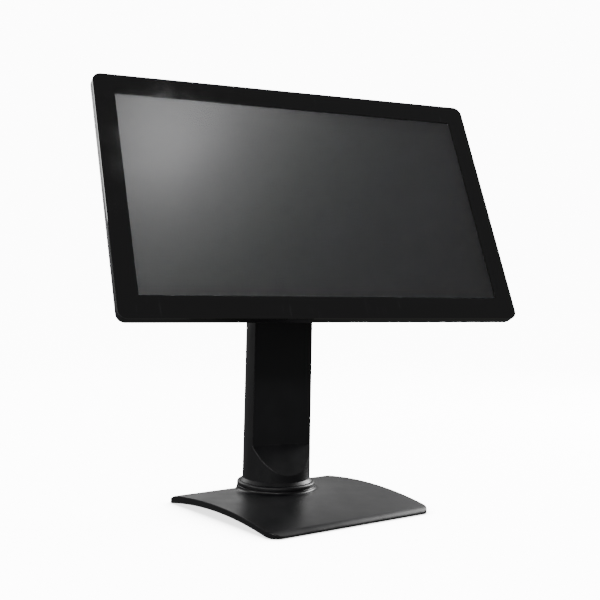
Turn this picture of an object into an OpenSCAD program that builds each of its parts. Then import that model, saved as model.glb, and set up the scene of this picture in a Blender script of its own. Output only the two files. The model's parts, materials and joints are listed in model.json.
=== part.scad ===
// Touchscreen kiosk: a 27 inch touch monitor on a swivelling column with an arched cast base.
// Millimetres, +Z up. The screen faces -Y. The origin lies on the table, in the screen's
// middle plane, level with the middle of the base.

/* [Screen] */
// Width of the display's active area
active_w = 597.6; // [500:0.1:720]
// Height of the display's active area
active_h = 336.15; // [280:0.01:406]
// Black border at the left and right of the active area
border_side = 32.2; // [24:0.1:40]
// Black border above the active area
border_top = 34.6; // [26:0.1:40]
// Black border below the active area
border_bottom = 35.6; // [26:0.1:40]
// Radius of the glass corners
glass_r = 14.5; // [8:0.5:20]
// Thickness of the cover glass
glass_t = 3; // [2:0.1:4]
// Thickness of the bonding tape behind the glass
tape_t = 0.5; // [0.3:0.1:1]
// Thickness of the display module
lcd_t = 10; // [8:0.5:12]

/* [Monitor case] */
// Wall of the frame's outer rim
rim_wall = 3; // [2:0.1:4]
// Thickness of the frame's ledge under the glass
ledge_t = 2; // [1.5:0.1:3]
// Thickness of the steel chassis plate
chassis_t = 1.5; // [1:0.1:2]
// Thickness of the rear case's flat flange
flange_t = 3; // [2.6:0.1:4]
// Wall of the rear case's raised middle
case_wall = 2.5; // [2:0.1:3.5]
// Width of the rear case's raised middle, at its foot
bulge_w = 540; // [500:1:580]
// Height of the rear case's raised middle, at its foot
bulge_h = 310; // [296:1:330]
// How far the raised middle's sides lean in
bulge_lean = 20; // [12:1:26]
// Depth of the case from the glass front to the raised back
case_depth = 50.5; // [48:0.5:60]

/* [Tilt hinge] */
// Tilt of the screen at rest, back from upright
rest_tilt = 26.5; // [0:0.5:40]
// Height of the tilt axis above the table
hinge_z = 478; // [470:1:520]
// Distance of the tilt axis in front of the column's axis
hinge_front = 38; // [38:1:50]
// Distance of the tilt axis behind the glass front
hinge_depth = 75; // [74:0.5:90]
// Height of the tilt axis above the middle of the active area
hinge_rise = 16; // [0:1:30]
// Radius of the hinge shaft
shaft_r = 6; // [5:0.5:8]
// Radius of the hinge barrel and lugs
barrel_r = 14; // [12:0.5:16]
// Half length of the hinge barrel
barrel_half = 30; // [26:1:34]
// Thickness of each hinge lug
lug_t = 8; // [6:0.5:10]
// Spacing of the four screws in the monitor's back
vesa_pitch = 100; // [75:25:100]

/* [Column] */
// Radius of the column just above its foot
column_r = 56.2; // [54:0.1:60]
// Radius of the column at its top
column_top_r = 54; // [52:0.1:56]
// Height of the column's top above the table
column_top_z = 510; // [500:1:512]
// Distance of the flat front face from the column's axis
flat_front = 19.4; // [18:0.1:24]
// Height at which the flat face meets the leaning cut
scoop_z = 97; // [90:1:140]
// Lean of the cut below the flat face, from upright
scoop_lean = 38.8; // [30:0.1:50]
// Wall of the column covers
shell_wall = 3.5; // [3:0.1:4]
// Distance behind the axis at which the rear cover starts
part_line = 25; // [20:1:30]
// Width of the steel mast, a rectangular tube
mast_w = 60; // [40:1:64]
// Depth of the steel mast, from front to back
mast_d = 30; // [24:1:32]
// Wall of the steel mast
mast_wall = 3; // [2:0.5:4]
// Radius of the round cup that joins the mast to its foot plate
cup_r = 30; // [28:0.5:34]

/* [Base] */
// Width of the base
base_w = 320; // [280:1:400]
// Distance from the swivel axis to the base's front edge
base_front = 206.5; // [180:0.5:240]
// Distance from the swivel axis to the base's back edge
base_back = 78; // [74:0.5:110]
// Radius of the base's front corners, seen from above
base_r = 22; // [15:1:30]
// Radius of the base's back corners, seen from above
base_back_r = 8; // [6:1:22]
// Height of the base's back edge
base_back_h = 11.6; // [10:0.1:13]
// Height of the base's front edge
base_front_h = 7.2; // [6.5:0.1:8]
// Rise of the base's upper face between its edges
base_rise = 12.8; // [11:0.1:16]
// Length over which the upper face rolls down to the back edge
back_roll = 26; // [20:1:32]
// Length over which the upper face rolls down to the front edge
front_roll = 12; // [10:1:16]
// Rise of the hollow under the base
arch_rise = 12; // [10:0.1:12.6]
// Turn of the base under the column at rest
base_turn = 13; // [0:0.5:30]
// Radius of the raised boss and of the collar ring
collar_r = 65; // [64:0.1:70]
// Height of the boss above the table
boss_z = 27.5; // [26:0.1:30]
// Radius of the swivel stud
stud_r = 8; // [7:0.5:9]
// Largest swivel to each side of straight ahead
swivel_limit = 45; // [20:1:55]

/* [Fits] */
// Clearance between a shaft and the hole that it turns in
run_gap = 0.05; // [0.02:0.01:0.1]
// Gap between covers that meet
seam_gap = 0.3; // [0.1:0.05:0.6]
// Gap around a push button
button_gap = 0.35; // [0.3:0.05:0.5]

/* [Hidden] */
$fn = 96;
eps = 0.01;
big = 80;
black = "#1b1b1d";
deep_black = "#0e0e10";
steel = "#9a9da1";
zinc = "#b9bcc0";
green_board = "#1f5a3a";

// Places of the three moving groups
base_offset = (base_front - base_back) / 2;
swivel_y = base_offset * cos(base_turn);

// Glass and what lies behind it, as depths from the glass front
glass_w = active_w + 2 * border_side;
glass_h = active_h + border_top + border_bottom;
glass_z = (border_top - border_bottom) / 2;
tape_y = glass_t;
frame_y = tape_y + tape_t;
lcd_side = 8;
lcd_end = 13;
lcd_w = active_w + 2 * lcd_side;
lcd_h = active_h + 2 * lcd_end;
tape_inset = 4;
tape_reach = 3;
window_gap = 0.5;
chassis_y = frame_y + lcd_t;
flange_y = chassis_y + chassis_t;
flange_back = flange_y + flange_t;
inner_back = case_depth - case_wall;
boss_r = 4.5;
m3_r = 1.5;
m4_r = 2;
m4_head_r = 3.9;
m4_head_t = 2.4;
head_r = 3.5;
head_t = 1.8;

// Screw places around the display, between it and the rim
edge_x = (lcd_w / 2 + glass_w / 2 - rim_wall) / 2;
edge_z = (lcd_h / 2 + glass_h / 2 - rim_wall) / 2;
side_pitch = 141;
chassis_pitch = 151;
top_pitch = 263;
chassis_spots = [for (sx = [-1, 1], i = [-0.5, 0.5]) [sx * edge_x, glass_z + i * chassis_pitch]];
case_spots = concat(
    [for (sx = [-1, 1], i = [-1, 0, 1]) [sx * edge_x, glass_z + i * side_pitch]],
    [for (i = [-0.5, 0.5], sz = [-1, 1]) [i * top_pitch, glass_z + sz * edge_z]]
);

// Boards inside the case, on posts from the chassis
post_h = 10;
post_r = 3;
post_vesa_r = 6;
board_t = 1.6;
board_y = flange_y + post_h;
board_back = board_y + board_t;
main_w = 180;
main_low = -bulge_h / 2 + 27;
main_h = 136;
driver_x = -165;
driver_w = 100;
driver_h = 110;
touch_w = 120;
touch_z = 92;
touch_h = 34;
board_edge = 6;
port_half = 78;
port_t = 1.2;
port_z = main_low - port_t;
port_flange = 12;
board_spots = concat(
    [for (sx = [-1, 1], z = [board_edge, main_h - board_edge])
        [sx * (main_w / 2 - board_edge), main_low + z]],
    [for (sx = [-1, 1], sz = [-1, 1])
        [driver_x + sx * (driver_w / 2 - board_edge), sz * (driver_h / 2 - board_edge)]],
    [for (sx = [-1, 1]) [sx * (touch_w / 2 - board_edge), touch_z]]
);

// Sockets on the main board: middle, width, height above the board, depth
socket_lip = 0.6;
network_size = [48, 16, 14, 21];
usb_sizes = [[24, 14, 8, 18], [6, 14, 8, 18]];
video_size = [-18, 16, 6.6, 14];
power_size = [-52, 14, 12, 15];
power_bore_r = 4.2;
socket_sizes = concat([network_size], usb_sizes, [video_size, power_size]);

// Vent and speaker slots in the rear case
slot_w = 3;
vent_count = 12;
vent_pitch = 8;
vent_x = 96;
vent_z = 84;
vent_h = 26;
speaker_x = 165;
speaker_pitch = 7;
speaker_w = 90;
speaker_t = 25;
speaker_h = 30;

// Push buttons, on the back of the case
button_x = 215;
button_pitch = 18;
button_low = -72;
button_r = 4.5;
button_flange_r = 5.8;
button_proud = 1.6;
button_travel = 1;
button_flange_t = 1.2;
switch_t = 2;
switch_half = 3;
switch_y = inner_back - 4.2;
button_board_y = switch_y - switch_t - board_t;
button_board_half = 9;
button_post_r = 4;
button_posts = [for (z = [button_low - 12, button_low + 4 * button_pitch + 12]) [button_x, z]];

// Column, as heights above the table
thrust_t = 1.5;
foot_plate_t = 6.3;
foot_low = boss_z + thrust_t;
foot_top = foot_low + foot_plate_t;
skirt_z = foot_top + 4.7;
skirt_r = collar_r - 5;
ring_gap = 0.8;
mast_top = hinge_z - 10;
mast_plate_t = 6;
mast_front = -flat_front + shell_wall + 2;
cup_top = foot_top + 22;
cup_wall = 4;
stud_head_r = cup_r - cup_wall - 8;
mast_back = 28;
arm_half = 18;
arm_t = 15;
yoke_half = 30;
yoke_t = 7;
yoke_back = mast_back - 1;
yoke_screw_r = 3;
yoke_head_r = 5;
yoke_head_t = 5;
yoke_spots = [for (x = [-22, 22], y = [-6, 20]) [x, y]];
shell_boss_r = 5;
shell_boss_h = 18;
boss_ring = column_r - shell_wall - 4.5;
screw_angles = [0, 90, 180];
spacer_heights = [200, 400];
spacer_t = 4;
cable_half = 15;
grommet_z = 70;
grommet_r = 13;
grommet_wall = 4;
grommet_lip = 2.5;
stop_r = 3;
stop_ring = 48;
stop_sink = 5;
recess_z = 16;
recess_r = 24;

// Rubber pads under the base's two edges
pad_proud = 0.6;
pad_t = 1.4;
pad_w = 50;
pad_d = 7;
pad_side = 52;
pad_edge = 8;
pad_gap = 0.1;
nose_foot = 10;
back_roll_r = 55;
front_roll_r = 22;

// Parts on the swivel stud
washer_gap = 0.3;
top_washer_t = 1.5;
spring_t = 2.6;
nut_t = 7;
nut_r = 13.8;
stud_tip = 1.5;
stud_head_t = 6;

// Parts on the hinge shaft
friction_t = 1;
lug_in = barrel_half + friction_t;
lug_out = lug_in + lug_t;
outer_washer_t = 1.5;
nut_x = lug_out + outer_washer_t;
shaft_nut_t = 8;
shaft_nut_r = 10.4;
shaft_half = nut_x + shaft_nut_t + 2;
bracket_t = 3;
bracket_edge = 10;

// Points that several pieces share
function column_radius(z) =
    column_r + (column_top_r - column_r) * (z - skirt_z) / (column_top_z - skirt_z);

module in_base() {
    translate([0, swivel_y, 0]) rotate([0, 0, base_turn]) children();
}

module in_column() {
    translate([0, swivel_y, 0]) children();
}

module in_head() {
    translate([0, swivel_y - hinge_front, hinge_z])
        rotate([-rest_tilt, 0, 0])
            translate([0, -hinge_depth, -hinge_rise]) children();
}

// A flat outline with round corners, middle at the origin
module rounded_outline(w, h, r) {
    square([w - 2 * r, h], center = true);
    square([w, h - 2 * r], center = true);
    for (sx = [-1, 1], sz = [-1, 1])
        translate([sx * (w / 2 - r), sz * (h / 2 - r)]) circle(r);
}

// A slab that stands in the XZ plane and runs from depth y for a thickness t
module slab(w, h, r, y, t, z = 0) {
    translate([0, y + t, z]) rotate([90, 0, 0]) linear_extrude(t) rounded_outline(w, h, r);
}

// A round bar along Y, from depth y for a length t
module bar_y(r, y, t) {
    translate([0, y + t, 0]) rotate([90, 0, 0]) cylinder(r = r, h = t);
}

// A box given by its low corner and its high corner
module box(low, high) {
    translate(low) cube(high - low);
}

// A flat ring standing on height z
module ring(inner, outer, z, t) {
    translate([0, 0, z]) difference() {
        cylinder(r = outer, h = t);
        translate([0, 0, -1]) cylinder(r = inner, h = t + 2);
    }
}

// ---- Base ----

// Side view of the arched plate: X runs from front to back, Y is height
module base_profile() {
    run = base_front + base_back;
    slope = atan2(base_back_h - base_front_h, run);
    top_r = (run * run / 4 + base_rise * base_rise) / (2 * base_rise);
    middle = [(base_back - base_front) / 2, (base_back_h + base_front_h) / 2];
    top_centre = middle + (top_r - base_rise) * [sin(slope), -cos(slope)];
    span = run - 2 * nose_foot;
    arch_r = (span * span / 4 + arch_rise * arch_rise) / (2 * arch_rise);
    difference() {
        union() {
            intersection() {
                translate(top_centre) circle(top_r, $fn = 1440);
                translate([-base_front + front_roll, 0])
                    square([run - front_roll - back_roll, 3 * base_rise]);
            }
            rolled_end(top_centre, top_r, base_back, back_roll, back_roll_r, 1);
            rolled_end(top_centre, top_r, -base_front, front_roll, front_roll_r, -1);
        }
        translate([middle[0], arch_rise - arch_r]) circle(arch_r, $fn = 1440);
    }
}

// End of the plate's side view, where the upper face rolls over and meets a round nose.
// The end lies at end_x, and side is 1 at the back and -1 at the front
module rolled_end(top_centre, top_r, end_x, length, roll_r, side) {
    start_x = end_x - side * length;
    across = start_x - top_centre[0];
    start = [start_x, top_centre[1] + sqrt(top_r * top_r - across * across)];
    roll_centre = start + (top_centre - start) * roll_r / top_r;
    reach = side * (end_x - roll_centre[0]);
    low = roll_centre[1];
    half = reach + low - roll_r;
    nose_r = half + sqrt(half * half - reach * reach - low * low + roll_r * roll_r);
    nose = [end_x - side * nose_r, nose_r];
    outward = (nose - roll_centre) / (roll_r - nose_r);
    intersection() {
        translate(roll_centre) circle(roll_r, $fn = 720);
        union() {
            translate([min(start_x - side, nose[0]), 0])
                square([abs(nose[0] - start_x) + 1, 3 * base_rise]);
            polygon([nose, nose + [0, 3 * base_rise], nose + 3 * base_rise * outward]);
        }
    }
    translate(nose) circle(nose_r);
}

module foot_pad_blocks(grow) {
    for (sx = [-1, 1], y = [-base_front + pad_edge, base_back - pad_edge])
        translate([sx * (base_w / 2 - pad_side), y, pad_t / 2])
            cube([pad_w + grow, pad_d + grow, pad_t], center = true);
}

module base_plate() {
    in_base() color(black) difference() {
        union() {
            translate([0, 0, pad_proud]) intersection() {
                rotate([90, 0, 90])
                    translate([0, 0, -base_w / 2]) linear_extrude(base_w) base_profile();
                translate([0, 0, -1]) linear_extrude(4 * base_rise) {
                    translate([0, (base_back - base_front) / 2])
                        rounded_outline(base_w, base_front + base_back, base_r);
                    translate([0, base_back / 2]) rounded_outline(base_w, base_back, base_back_r);
                }
            }
            translate([0, 0, recess_z - 2]) cylinder(r = collar_r + 0.5, h = boss_z - recess_z + 2);
        }
        translate([0, 0, -1]) cylinder(r = recess_r, h = recess_z + 1);
        cylinder(r = stud_r + run_gap, h = boss_z + 1);
        rotate([0, 0, -90]) translate([stop_ring, 0, boss_z - stop_sink])
            cylinder(r = stop_r + run_gap, h = stop_sink + 1);
        foot_pad_blocks(pad_gap);
    }
}

module base_foot_pads() {
    in_base() color("#2b2b2b") foot_pad_blocks(0);
}

module collar_ring() {
    nose = 3.6;
    inner = skirt_r + ring_gap;
    top = foot_top - ring_gap / 2;
    in_base() color(black) rotate_extrude() intersection() {
        union() {
            translate([0, boss_z]) square([collar_r, top - nose - boss_z]);
            translate([0, boss_z]) square([collar_r - nose, top - boss_z]);
            translate([collar_r - nose, top - nose]) circle(nose);
        }
        translate([inner, boss_z]) square([10, 20]);
    }
}

module swivel_thrust_washer() {
    in_base() color("ivory") ring(stud_r + washer_gap, stop_ring - 2 * stop_r, boss_z, thrust_t);
}

module swivel_stop_pin() {
    in_base() color(zinc) rotate([0, 0, -90])
        translate([stop_ring, 0, boss_z - stop_sink])
            cylinder(r = stop_r, h = stop_sink + thrust_t + foot_plate_t - 1);
}

module swivel_stud() {
    low = recess_z - spring_t - nut_t - stud_tip;
    head_z = foot_top + top_washer_t;
    in_base() color(zinc) {
        translate([0, 0, low]) cylinder(r = stud_r, h = head_z - low + eps);
        translate([0, 0, head_z]) cylinder(r = stud_head_r, h = stud_head_t);
    }
}

module swivel_top_washer() {
    in_base() color("ivory") ring(stud_r + washer_gap, stud_head_r + 2, foot_top, top_washer_t);
}

module swivel_disc_springs() {
    in_base() color(steel) ring(stud_r + washer_gap, recess_r - 5, recess_z - spring_t, spring_t);
}

module swivel_lock_nut() {
    in_base() color(zinc) translate([0, 0, recess_z - spring_t - nut_t]) difference() {
        cylinder(r = nut_r, h = nut_t, $fn = 6);
        translate([0, 0, -1]) cylinder(r = stud_r + run_gap, h = nut_t + 2);
    }
}

// ---- Column ----

module column_foot_plate() {
    slot_half = stop_r + 0.4;
    in_column() color(steel) difference() {
        translate([0, 0, foot_low]) cylinder(r = skirt_r - ring_gap, h = foot_plate_t);
        cylinder(r = stud_r + run_gap, h = foot_top + 1);
        rotate([0, 0, -90 - swivel_limit]) rotate_extrude(angle = 2 * swivel_limit)
            translate([stop_ring - slot_half, foot_low - 1])
                square([2 * slot_half, foot_plate_t + 2]);
        for (side = [-1, 1])
            rotate([0, 0, -90 + side * swivel_limit])
                translate([stop_ring, 0, foot_low - 1])
                    cylinder(r = slot_half, h = foot_plate_t + 2);
        for (a = screw_angles) rotate([0, 0, a]) {
            translate([boss_ring, 0, foot_low - 1])
                cylinder(r = m4_r + run_gap, h = foot_plate_t + 2);
            translate([boss_ring, 0, foot_low - 1]) cylinder(r = m4_head_r + 0.2, h = 3.6);
        }
    }
}

module column_mast() {
    in_column() color(steel) {
        difference() {
            translate([0, 0, foot_top]) cylinder(r = cup_r, h = cup_top - foot_top);
            translate([0, 0, foot_top - 1])
                cylinder(r = cup_r - cup_wall, h = cup_top - foot_top - cup_wall + 1);
        }
        difference() {
            box([-mast_w / 2, mast_front, cup_top - eps], [mast_w / 2, mast_front + mast_d, mast_top]);
            box([-mast_w / 2 + mast_wall, mast_front + mast_wall, cup_top - 1],
                [mast_w / 2 - mast_wall, mast_front + mast_d - mast_wall, mast_top - mast_plate_t]);
            yoke_screw_holes(mast_top - mast_plate_t - 1, mast_plate_t + 2);
        }
        difference() {
            box([-mast_w / 2 - 4, mast_front, mast_top - mast_plate_t],
                [mast_w / 2 + 4, mast_back, mast_top]);
            yoke_screw_holes(mast_top - mast_plate_t - 1, mast_plate_t + 2);
        }
    }
}

module yoke_screw_holes(z, h) {
    for (p = yoke_spots) translate([p[0], p[1], z]) cylinder(r = yoke_screw_r + run_gap, h = h);
}

// The column's round body, narrowed by a wall thickness
module column_body(wall, low, high) {
    flare = skirt_r - column_r;
    rotate_extrude() intersection() {
        polygon([
            [0, foot_top], [skirt_r - wall, foot_top], [column_r - wall, skirt_z],
            [column_top_r - wall, column_top_z], [0, column_top_z]
        ]);
        translate([0, low]) square([column_r + flare + 1, high - low]);
    }
}

// What the flat face and the leaning cut take away, moved in by a wall thickness
module front_cut(wall) {
    face = flat_front - wall;
    knee = scoop_z - wall * tan(scoop_lean / 2);
    reach = column_r + 10;
    rotate([90, 0, 90]) translate([0, 0, -reach]) linear_extrude(2 * reach)
        polygon([
            [-face, column_top_z + 10], [-face, knee],
            [-face - reach, knee - reach / tan(scoop_lean)], [-face - reach, column_top_z + 10]
        ]);
}

module column_hollow() {
    difference() {
        column_body(shell_wall, foot_top, column_top_z);
        front_cut(shell_wall);
    }
}

module column_tube() {
    difference() {
        column_body(0, foot_top, column_top_z);
        front_cut(0);
        difference() {
            translate([0, 0, foot_top - 1]) cylinder(r = column_r - shell_wall, h = 6);
            front_cut(shell_wall);
        }
        column_hollow();
        translate([0, 0, 1]) column_hollow();
    }
}

module shell_bosses(angles) {
    for (a = angles) rotate([0, 0, a]) translate([boss_ring, 0, foot_top]) difference() {
        cylinder(r = shell_boss_r, h = shell_boss_h);
        translate([0, 0, -1]) cylinder(r = m4_r + run_gap, h = shell_boss_h - 1);
    }
}

module column_front_shell() {
    in_column() color(black) {
        difference() {
            intersection() {
                column_tube();
                box([-big, -big, 0], [big, part_line, column_top_z]);
            }
            box([-arm_half - 5, -column_r, mast_top - 8], [arm_half + 5, 0, mast_top + arm_t + 6]);
        }
        shell_bosses([0, 180]);
    }
}

module column_rear_cover() {
    in_column() color(black) {
        difference() {
            intersection() {
                column_tube();
                box([-big, part_line + seam_gap, 0], [big, big, column_top_z]);
            }
            translate([0, 0, grommet_z]) bar_y(grommet_r, part_line, 60);
        }
        shell_bosses([90]);
    }
}

module column_shell_screws() {
    in_column() color(zinc) for (a = screw_angles)
        rotate([0, 0, a]) translate([boss_ring, 0, foot_low + 0.2]) {
            cylinder(r = m4_head_r, h = m4_head_t);
            cylinder(r = m4_r, h = shell_boss_h);
        }
}

module shell_spacers() {
    in_column() color("#3a3a3c") for (z = spacer_heights) difference() {
        intersection() {
            translate([0, 0, z]) cylinder(r = column_r, h = spacer_t);
            gapped_hollow();
        }
        box([-mast_w / 2 - run_gap, mast_front - run_gap, z - 1],
            [mast_w / 2 + run_gap, mast_front + mast_d + run_gap, z + spacer_t + 1]);
        box([-cable_half, mast_front + mast_d - 1, z - 1], [cable_half, big, z + spacer_t + 1]);
    }
}

// The column's hollow, less the seam gap all round
module gapped_hollow() {
    difference() {
        column_body(shell_wall + seam_gap, foot_top, column_top_z);
        front_cut(shell_wall + seam_gap);
    }
}

module column_top_cap() {
    lip_t = 3;
    in_column() color(black) {
        difference() {
            translate([0, 0, column_top_z]) cylinder(r = column_top_r, h = lip_t);
            translate([0, 0, lip_t]) front_cut(0);
        }
        intersection() {
            gapped_hollow();
            box([-big, -big, column_top_z - 5], [big, big, column_top_z]);
        }
    }
}

module cable_grommet() {
    in_column() color("#222222") difference() {
        union() {
            translate([0, 0, grommet_z]) bar_y(grommet_r - run_gap, column_r - 8, 9);
            difference() {
                translate([0, 0, grommet_z]) bar_y(grommet_r + grommet_lip, column_r - 6, 7.5);
                cylinder(r1 = column_radius(0) + run_gap, r2 = column_radius(150) + run_gap, h = 150);
            }
        }
        translate([0, 0, grommet_z]) bar_y(grommet_r - grommet_wall, column_r - 20, 40);
    }
}

module hinge_yoke() {
    in_column() color(black) difference() {
        union() {
            translate([-barrel_half, -hinge_front, hinge_z]) rotate([0, 90, 0])
                cylinder(r = barrel_r, h = 2 * barrel_half);
            box([-arm_half, -hinge_front, mast_top], [arm_half, yoke_back - 3, mast_top + arm_t]);
            box([-yoke_half, mast_front, mast_top], [yoke_half, yoke_back, mast_top + yoke_t]);
        }
        translate([-barrel_half - 1, -hinge_front, hinge_z]) rotate([0, 90, 0])
            cylinder(r = shaft_r + run_gap, h = 2 * barrel_half + 2);
        yoke_screw_holes(mast_top - 1, 30);
        for (p = yoke_spots)
            translate([p[0], p[1], mast_top + yoke_t]) cylinder(r = yoke_head_r + washer_gap, h = 20);
    }
}

module yoke_screws() {
    in_column() color(zinc) for (p = yoke_spots) translate([p[0], p[1], mast_top + yoke_t]) {
        cylinder(r = yoke_head_r, h = yoke_head_t);
        translate([0, 0, -mast_plate_t - yoke_t + 1])
            cylinder(r = yoke_screw_r, h = mast_plate_t + yoke_t - 1 + eps);
    }
}

// ---- Tilt hinge, in the monitor's own frame ----

module bar_x(r, x, length) {
    translate([x, hinge_depth, hinge_rise]) rotate([0, 90, 0]) cylinder(r = r, h = length);
}

module hinge_shaft() {
    in_head() color(zinc) bar_x(shaft_r, -shaft_half, 2 * shaft_half);
}

module washer_x(x, t, outer) {
    difference() {
        bar_x(outer, x, t);
        bar_x(shaft_r + run_gap, x - 1, t + 2);
    }
}

module hinge_friction_washers() {
    in_head() color("ivory") {
        for (x = [barrel_half, -barrel_half - friction_t]) washer_x(x, friction_t, barrel_r - 1);
        for (x = [lug_out, -lug_out - outer_washer_t]) washer_x(x, outer_washer_t, barrel_r - 2);
    }
}

module hinge_nuts() {
    in_head() color(zinc) for (x = [nut_x, -nut_x - shaft_nut_t]) difference() {
        translate([x, hinge_depth, hinge_rise]) rotate([0, 90, 0])
            cylinder(r = shaft_nut_r, h = shaft_nut_t, $fn = 6);
        bar_x(shaft_r + run_gap, x - 1, shaft_nut_t + 2);
    }
}

module vesa_spots() {
    for (sx = [-1, 1], sz = [-1, 1])
        translate([sx * vesa_pitch / 2, 0, hinge_rise + sz * vesa_pitch / 2]) children();
}

module monitor_bracket() {
    size = vesa_pitch + 2 * bracket_edge;
    in_head() color(black) difference() {
        union() {
            slab(size, size, 8, case_depth, bracket_t, hinge_rise);
            for (x = [lug_in, -lug_out]) {
                bar_x(barrel_r, x, lug_t);
                box([x, case_depth, hinge_rise - barrel_r], [x + lug_t, hinge_depth, hinge_rise + barrel_r]);
            }
        }
        bar_x(shaft_r + run_gap, -lug_out - 1, 2 * lug_out + 2);
        vesa_spots() bar_y(m4_r + 0.25, case_depth - 1, bracket_t + 2);
    }
}

module monitor_bracket_screws() {
    in_head() color(zinc) vesa_spots() {
        bar_y(m4_r, inner_back - 8, case_depth + bracket_t - inner_back + 8);
        bar_y(4, case_depth + bracket_t, 2.2);
    }
}

// ---- Monitor, in its own frame: X across, Y back from the glass front, Z up the screen ----

module cover_glass() {
    in_head() color(deep_black) slab(glass_w, glass_h, glass_r, 0, glass_t, glass_z);
}

module glass_tape() {
    half_w = active_w / 2 + tape_reach;
    half_h = active_h / 2 + tape_reach;
    in_head() color("#303030") difference() {
        slab(glass_w - 2 * tape_inset, glass_h - 2 * tape_inset, glass_r - tape_inset,
            tape_y, tape_t, glass_z);
        box([-half_w, 0, -half_h], [half_w, 2 * frame_y, half_h]);
    }
}

module lcd_panel() {
    in_head() color("#151517")
        box([-lcd_w / 2, frame_y, -lcd_h / 2], [lcd_w / 2, chassis_y, lcd_h / 2]);
}

module at_spots(spots) {
    for (p = spots) translate([p[0], 0, p[1]]) children();
}

module front_frame() {
    in_head() color(black) {
        difference() {
            slab(glass_w, glass_h, glass_r, frame_y, flange_y - frame_y, glass_z);
            slab(glass_w - 2 * rim_wall, glass_h - 2 * rim_wall, glass_r - rim_wall,
                frame_y + ledge_t, 30, glass_z);
            box([-lcd_w / 2 - window_gap, 0, -lcd_h / 2 - window_gap],
                [lcd_w / 2 + window_gap, 30, lcd_h / 2 + window_gap]);
        }
        at_spots(chassis_spots) difference() {
            bar_y(boss_r, frame_y + ledge_t - eps, chassis_y - frame_y - ledge_t + eps);
            bar_y(m3_r + run_gap, frame_y + ledge_t + 1, 20);
        }
        at_spots(case_spots) difference() {
            bar_y(boss_r, frame_y + ledge_t - eps, flange_y - frame_y - ledge_t + eps);
            bar_y(m3_r + run_gap, frame_y + ledge_t + 1, 20);
        }
    }
}

module chassis_plate() {
    inset = rim_wall + 0.5;
    in_head() color(steel) difference() {
        union() {
            slab(glass_w - 2 * inset, glass_h - 2 * inset, glass_r - inset, chassis_y, chassis_t, glass_z);
            vesa_spots() bar_y(post_vesa_r, flange_y - eps, inner_back - flange_y + eps);
            at_spots(board_spots) bar_y(post_r, flange_y - eps, post_h + eps);
            at_spots(button_posts) bar_y(button_post_r, flange_y - eps, button_board_y - flange_y + eps);
        }
        at_spots(case_spots) bar_y(boss_r + 0.5, chassis_y - 1, chassis_t + 2);
        at_spots(chassis_spots) bar_y(m3_r + run_gap, chassis_y - 1, chassis_t + 2);
        vesa_spots() bar_y(m4_r + run_gap, inner_back - 10, 12);
        at_spots(board_spots) bar_y(m3_r + run_gap, board_y - 6, 8);
    }
}

module chassis_screws() {
    in_head() color(zinc) at_spots(chassis_spots) {
        bar_y(m3_r, chassis_y - 5, chassis_t + 5 + eps);
        bar_y(head_r - 0.5, flange_y, head_t - 0.2);
    }
}

// The raised middle of the rear case, narrowed by a wall thickness and cut off at a depth
module bulge(wall, y, back) {
    foot_w = bulge_w - 2 * wall;
    foot_h = bulge_h - 2 * wall;
    thin = 0.1;
    hull() {
        slab(foot_w, foot_h, 20 - wall, y, thin, 0, $fn = 32);
        slab(foot_w - 2 * bulge_lean, foot_h - 2 * bulge_lean, 20 - wall, back - thin, thin, 0, $fn = 32);
    }
}

module vent_slots() {
    for (sx = [-1, 1], i = [0 : vent_count - 1])
        translate([sx * (vent_x + i * vent_pitch) - slot_w / 2, inner_back - 1, vent_z])
            cube([slot_w, case_wall + 2, vent_h]);
}

module speaker_slots() {
    for (sx = [-1, 1], i = [-4 : 4])
        translate([sx * speaker_x + i * speaker_pitch - slot_w / 2, flange_back + 6, -bulge_h / 2 - 1])
            cube([slot_w, 12, bulge_lean]);
}

module rear_case() {
    in_head() color(black) difference() {
        union() {
            slab(glass_w - 2, glass_h - 2, glass_r - 1, flange_y, flange_t, glass_z);
            bulge(0, flange_y, case_depth);
        }
        bulge(case_wall, flange_y - 1, inner_back);
        at_spots(chassis_spots) bar_y(boss_r, flange_y - 1, flange_t);
        at_spots(case_spots) {
            bar_y(m3_r + run_gap, flange_y - 1, 10);
            bar_y(head_r + 0.2, flange_back - head_t, 10);
        }
        vesa_spots() bar_y(m4_r + 0.25, inner_back - 1, case_wall + 2);
        vent_slots();
        speaker_slots();
        for (i = [0 : 4])
            translate([button_x, 0, button_low + i * button_pitch])
                bar_y(button_r + button_gap, inner_back - 1, case_wall + 2);
        box([-port_half + 6, board_back - 4, -bulge_h / 2 - 10], [port_half - 6, inner_back - 4, port_z - 1]);
    }
}

module rear_case_screws() {
    in_head() color(zinc) at_spots(case_spots) {
        bar_y(m3_r, flange_back - head_t - 9, 9 + eps);
        bar_y(head_r, flange_back - head_t, head_t - 0.3);
    }
}

module main_board() {
    in_head() color(green_board) difference() {
        box([-main_w / 2, board_y, main_low], [main_w / 2, board_back, main_low + main_h]);
        at_spots(board_spots) bar_y(m3_r + 0.2, board_y - 1, board_t + 2);
        vesa_spots() bar_y(post_vesa_r + 1, board_y - 1, board_t + 2);
    }
}

module heat_sink() {
    low = main_low + 46;
    in_head() color(steel) {
        box([-40, board_back, low], [40, board_back + 4, low + 70]);
        for (i = [0 : 9])
            box([-39 + i * 8.4, board_back + 4 - eps, low], [-37 + i * 8.4, board_back + 15, low + 70]);
    }
}

// A socket on the main board: a shell with a mouth that opens downwards
module socket(size, wall) {
    x = size[0];
    half = size[1] / 2;
    low = port_z - socket_lip;
    in_head() color(steel) difference() {
        box([x - half, board_back, low], [x + half, board_back + size[2], low + size[3]]);
        box([x - half + wall, board_back + wall, low - 1],
            [x + half - wall, board_back + size[2] - wall, low + size[3] - 3]);
    }
}

module network_socket() {
    socket(network_size, 1);
}

module usb_sockets() {
    for (size = usb_sizes) socket(size, 0.6);
}

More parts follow.
